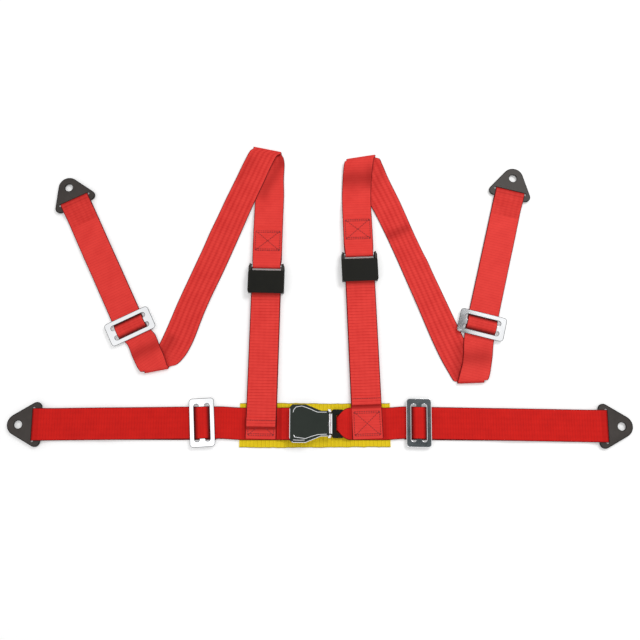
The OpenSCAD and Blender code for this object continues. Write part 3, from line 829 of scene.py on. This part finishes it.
rightPath += [
    flatRung((217.2, 69), (262.5, 67.5), 6.1),
    flatRung((220.5, 80), (267, 75.5), 5.3),
    flatRung((225, 95), (271, 92), 3.7),
    flatRung((227.5, 112), (273.8, 107), 3),
    flatRung((228.6, 130), (275.6, 122), topZ)]

layShoulder("left", leftPath, "shoulder_left", 3)
layShoulder("right", rightPath, "shoulder_right", 3)
layLower("left", "shoulder_left")
layLower("right", "shoulder_right")
print("shoulder straps laid")

# stitching

stitch = dict(length=3.3, pitch=3.6, width=1.25, height=0.36, upperZ=9.0, footZ=5.3, hemZ=8.95)


def stitchShape():
    deselectAll()
    bpy.ops.mesh.primitive_uv_sphere_add(segments=8, ring_count=5, radius=0.5)
    obj = bpy.context.object
    verts = np.array([v.co for v in obj.data.vertices]) * (stitch["length"], stitch["width"],
                                                           stitch["height"] * 2)
    faces = [list(p.vertices) for p in obj.data.polygons]
    bpy.data.objects.remove(obj)
    return verts, faces


stitchVerts, stitchFaces = stitchShape()


def sewLines(name, place, lines, z, body):
    # rows of single stitches along lines from (s, t) to (s, t), in a strap's own frame
    rng = random.Random(len(name))
    points, faces = [], []
    for (s0, t0), (s1, t1) in lines:
        length = math.hypot(s1 - s0, t1 - t0)
        count = max(1, round(length / stitch["pitch"]))
        angle = math.atan2(t1 - t0, s1 - s0)
        for i in range(count):
            share = (i + 0.5) / count
            lean = angle + rng.uniform(-0.07, 0.07)
            c, n = math.cos(lean), math.sin(lean)
            s = s0 + (s1 - s0) * share + rng.uniform(-0.12, 0.12)
            t = t0 + (t1 - t0) * share + rng.uniform(-0.12, 0.12)
            first = len(points)
            for x, y, h in stitchVerts:
                px, py = along(place, s + x * c - y * n, t + x * n + y * c)
                points.append(inFrame(px, py, z + h))
            faces += [[first + k for k in face] for face in stitchFaces]
    mesh = bpy.data.meshes.new(name)
    mesh.from_pydata(points, [], faces)
    obj = bpy.data.objects.new(name, mesh)
    bpy.context.collection.objects.link(obj)
    obj.data.materials.append(redThread)
    smoothBy(obj, 60)
    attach(obj, body)
    return obj


def crossBox(low, high, half):
    a, b, c, d = (low, -half), (low, half), (high, half), (high, -half)
    inner = [((low + 2.4, -half), (low + 2.4, half)), ((high - 2.4, -half), (high - 2.4, half))]
    return [(a, b), (b, c), (c, d), (d, a), (a, c), (b, d)] + inner


for side, f in fronts.items():
    bar = f["adjuster"] + barAhead
    sewLines("%s_upper_stitching" % side, f, crossBox(bar + 27, bar + 60, 20), stitch["upperZ"],
             side + "_adjuster")
    sewLines("%s_foot_stitching" % side, f, crossBox(-18, 19, 20), stitch["footZ"], f["parent"])
    hemLine = ((f["tailEnd"] + 10, -22), (f["tailEnd"] + 10, 22))
    sewLines("%s_hem_stitching" % side, f, [hemLine], stitch["hemZ"], side + "_pull_tail")
print("stitching sewn")

# hard parts


def bevelCopy(node, name, mat, body, width, segments=2, skew=None):
    # a copy of the frame's part with its edges rounded over, flat faces kept flat to the light
    source = frame["nodes"][node]
    deselectAll()
    mesh = source.data.copy()
    obj = bpy.data.objects.new(name, mesh)
    bpy.context.collection.objects.link(obj)
    obj.matrix_world = Matrix.Identity(4)
    pickOnly(obj)
    bpy.ops.object.mode_set(mode="EDIT")
    bpy.ops.mesh.select_all(action="SELECT")
    bpy.ops.mesh.remove_doubles(threshold=0.00001)
    bpy.ops.mesh.dissolve_limited(angle_limit=math.radians(1))
    bpy.ops.object.mode_set(mode="OBJECT")
    if skew:
        # a small turn about the part's own middle
        (x, y), degrees = skew
        spot = Matrix.Translation(inFrame(x, y, 0))
        mesh.transform(spot @ Matrix.Rotation(math.radians(degrees), 4, "Z") @ spot.inverted())
    bevel = obj.modifiers.new("edges", "BEVEL")
    bevel.width = width / 1000
    bevel.segments = segments
    bevel.limit_method = "ANGLE"
    bevel.angle_limit = math.radians(35)
    obj.data.materials.clear()
    obj.data.materials.append(mat)
    applyModifiers(obj)
    smoothBy(obj, 40)
    even = obj.modifiers.new("evenNormals", "WEIGHTED_NORMAL")
    even.keep_sharp = True
    applyModifiers(obj)
    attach(obj, body)
    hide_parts(node)
    return obj


# the right lap slide gets a darker metal colour, a painted dark reflection; the other slides are chrome
for key in ends:
    reflectsDark = key == "lap_right"
    bevelCopy(key + "_slide", key + "_slide_frame", darkReflectionSteel if reflectsDark else chrome,
              key + "_slide_body", 0.95, 2, skew=(ends[key]["at"], ends[key].get("skew", 0)))
    bevelCopy(key + "_anchor", key + "_anchor_plate", plateBlack, key + "_anchor_body", 1.25,
              3)


adjusterLook = dict(armFrom=10, armTo=30.2, armIn=23.7, armOut=29, corner=5.2, low=1.2, high=12.8)


def prism(name, outline, z0, z1, width, mat, body, segments=3):
    # a plan outline raised between two heights, its edges rounded over
    deselectAll()
    bpy.ops.mesh.primitive_circle_add(vertices=len(outline), radius=1, fill_type="NGON")
    obj = bpy.context.object
    obj.name = obj.data.name = name
    for vertex, (x, y) in zip(obj.data.vertices, outline):
        vertex.co = inFrame(x, y, z0)
    bpy.ops.object.mode_set(mode="EDIT")
    bpy.ops.mesh.select_all(action="SELECT")
    bpy.ops.mesh.extrude_region_move(TRANSFORM_OT_translate={"value": (0, 0, (z1 - z0) / 1000)})
    bpy.ops.mesh.select_all(action="SELECT")
    bpy.ops.mesh.normals_make_consistent(inside=False)
    bpy.ops.object.mode_set(mode="OBJECT")
    bevel = obj.modifiers.new("edges", "BEVEL")
    bevel.width = width / 1000
    bevel.segments = segments
    bevel.limit_method = "ANGLE"
    bevel.angle_limit = math.radians(40)
    applyModifiers(obj)
    smoothBy(obj, 40)
    obj.data.materials.append(mat)
    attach(obj, body)
    return obj


def armOutline(place, at, sign):
    look = adjusterLook
    bend = look["corner"]
    points = [(look["armFrom"], look["armIn"]), (look["armFrom"], look["armOut"])]
    for step in range(6):
        a = math.radians(90 - 15 * step)
        points.append((look["armTo"] - bend + bend * math.cos(a), look["armOut"] - bend + bend * math.sin(a)))
    points.append((look["armTo"] - 0.2, look["armIn"]))
    return [along(place, at + s, sign * t) for s, t in points]


for side, f in fronts.items():
    body, at, arm = side + "_adjuster", f["adjuster"], adjusterLook
    bevelCopy(side + "_adjuster_cover", side + "_adjuster_shell", mouldedBlack, body, 1.5, 4)
    bevelCopy(side + "_adjuster_frame", side + "_adjuster_cheeks", plateBlack, body, 0.4)
    for edge, sign in (("left", 1), ("right", -1)):
        prism("%s_adjuster_%s_arm" % (side, edge), armOutline(f, at, sign), arm["low"], arm["high"], 0.9,
              mouldedBlack, body)
bevelCopy("buckle_base", "buckle_body", bodySteel, "harness_left", 0.35)
bevelCopy("latch_tongue", "tongue_plate", bodySteel, "harness_right", 0.35)
bevelCopy("tongue_cover", "tongue_head", mouldedBlack, "harness_right", 0.6)
for end, sign in (("upper", 1), ("lower", -1)):
    prism("tongue_head_%s_cheek" % end, [(24, sign * 12.6), (24, sign * 21), (31, sign * 21),
                                         (29.6, sign * 15)],
          4.1, 6.8, 0.4, mouldedBlack, "harness_right", 2)
bevelCopy("buckle_lever", "buckle_lift_lever", leverBlack, "lever", 0.9, 3)


def trimWire(name, points, z, radius, mat, body, closed=False):
    # a thin wire along a line of plan points
    curve = bpy.data.curves.new(name, "CURVE")
    curve.dimensions = "3D"
    line = curve.splines.new("POLY")
    line.points.add(len(points) - 1)
    for point, (x, y) in zip(line.points, points):
        point.co = (*inFrame(x, y, z), 1)
    line.use_cyclic_u = closed
    curve.bevel_depth = radius / 1000
    curve.bevel_resolution = 2
    curve.use_fill_caps = True
    obj = bpy.data.objects.new(name, curve)
    bpy.context.collection.objects.link(obj)
    pickOnly(obj)
    bpy.ops.object.convert(target="MESH")
    obj = bpy.context.object
    bpy.ops.object.mode_set(mode="EDIT")
    bpy.ops.mesh.select_all(action="SELECT")
    bpy.ops.mesh.remove_doubles(threshold=0.000001)
    bpy.ops.mesh.normals_make_consistent(inside=False)
    bpy.ops.object.mode_set(mode="OBJECT")
    smoothBy(obj, 50)
    obj.data.materials.clear()
    obj.data.materials.append(mat)
    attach(obj, body)
    return obj


def arcPoints(s, t, radius, start, stop, steps=6):
    return [(s + radius * math.cos(math.radians(start + (stop - start) * i / steps)),
             t + radius * math.sin(math.radians(start + (stop - start) * i / steps)))
             for i in range(steps + 1)]


# thin wires along the edges: light steel on the right lap slide, and dark metal on the other slides as
# painted shade at their edges; black on the plates and round their bolt holes, painted shade at the rims
slideRim = dict(z=6.95, radius=0.45, cornerS=14.1, cornerT=32.1, corner=5, slotS=8.25, slotT=25, slotEnd=4.3,
                hookS=4.4, hookT=27)
plateRimWire = dict(z=4.62, radius=0.6, holeRadius=0.42, earBack=-4.5, earT=26.5, ear=7.5, tipOn=23, tip=16.5,
                    lean=28.5, hole=6.8)


def slideWires(key, e):
    r, body = slideRim, key + "_slide_body"
    # dark wires on the chrome slides are painted shade at their edges; the right lap slide keeps plain steel
    # wires
    mat = bodySteel if key == "lap_right" else slideEdgeShade
    turned = dict(at=e["at"], turn=e["turn"] + e.get("skew", 0))
    outline = []
    for i, (s, t) in enumerate(((1, 1), (-1, 1), (-1, -1), (1, -1))):
        outline += arcPoints(s * r["cornerS"], t * r["cornerT"], r["corner"], 90 * i, 90 * i + 90)
    trimWire(key + "_slide_rim", [along(turned, s, t) for s, t in outline], r["z"], r["radius"], mat,
             body, closed=True)
    hook = [(r["hookS"], r["hookT"])] + arcPoints(r["slotS"], r["slotT"], r["slotEnd"], 150, 0)
    hook += arcPoints(r["slotS"], -r["slotT"], r["slotEnd"], 0, -150) + [(r["hookS"], -r["hookT"])]
    for name, sign in (("far", 1), ("near", -1)):
        trimWire("%s_slide_%s_slot_rim" % (key, name), [along(turned, sign * s, t) for s, t in hook],
                 r["z"], r["radius"], mat, body)


def plateWires(key, e):
    r, body = plateRimWire, key + "_anchor_body"
    ear, tip, lean = e["run"] + r["earBack"], e["run"] + r["tipOn"], r["lean"]
    nose = (arcPoints(ear, r["earT"], r["ear"], 180, 90 - lean)
            + arcPoints(tip, 0, r["tip"], 90 - lean, lean - 90, 12)
            + arcPoints(ear, -r["earT"], r["ear"], lean - 90, -180))
    # painted shade: a black wire along the plate's rounded edge and round its bolt hole
    trimWire(key + "_anchor_rim", [along(e, s, t) for s, t in nose], r["z"], r["radius"], plateRimShade,
             body)
    hole = arcPoints(tip, 0, r["hole"], 0, 345, 23)
    trimWire(key + "_bolt_hole_rim", [along(e, s, t) for s, t in hole], r["z"], r["holeRadius"], plateRimShade,
             body, closed=True)


for key, e in ends.items():
    slideWires(key, e)
    plateWires(key, e)


# bright edges of the lever's raised sides
trimSize = dict(z=17.25, radius=0.55)
trims = {
    "upper": [(-41.3, 17), (-40.6, 20.6), (-39, 22.6), (-36.7, 25.2), (-28, 26.6), (-21.8, 24.6),
              (-13.9, 21.7),
              (-7.7, 18.7), (-3.2, 17.2), (10.4, 17.2)],
    "lower": [(-40.5, -17.6), (-38.6, -20.6), (-31, -21.6), (-22.4, -22.9), (-12.6, -19.4), (-3.2, -16.8),
              (10.4, -16.2)],
    "lower_edge": [(-43.2, -27.2), (-41.4, -28.6), (-22.2, -28.6), (1.8, -18.9), (12.2, -18.9)],
    "lift_edge": [(-46.45, 22.6), (-46.45, -22.6)],
    "lower_corner": [(-41.2, -24.9), (-30, -25.4), (-23.4, -24.9)],
}
for part, points in trims.items():
    trimWire("lever_%s_trim" % part, points, trimSize["z"], trimSize["radius"], bodySteel, "lever")
# the return spring, as rings side by side
coil = dict(x=14.4, z=11, turns=9, pitch=1.1, radius=2.35, wire=0.42)
loops = []
for turn in range(coil["turns"]):
    deselectAll()
    bpy.ops.mesh.primitive_torus_add(major_radius=coil["radius"] / 1000, minor_radius=coil["wire"] / 1000,
                                     major_segments=24,
                                     minor_segments=8, rotation=(math.pi / 2, 0, 0),
                                     location=inFrame(coil["x"],
                                                      (turn - (coil["turns"] - 1) / 2) * coil["pitch"],
                                                      coil["z"]))
    loops.append(bpy.context.object)
for loop in loops:
    loop.select_set(True)
bpy.ops.object.join()
spring = bpy.context.object
spring.name = spring.data.name = "lever_return_coil"
bpy.ops.object.transform_apply(location=True, rotation=True, scale=True)
smoothBy(spring, 60)
spring.data.materials.append(bodySteel)
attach(spring, "harness_left")
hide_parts("lever_spring")
# small parts that stay as the frame has them
plainSteel = ["buckle_webbing_bar", "buckle_pivot_pin"]
plainSteel += ["%s_adjuster_%s_bar" % (side, kind) for kind in ("loop", "lock") for side in fronts]
for node in plainSteel:
    for materialSlot in frame["nodes"][node].material_slots:
        materialSlot.material = bodySteel
print("hard parts finished")
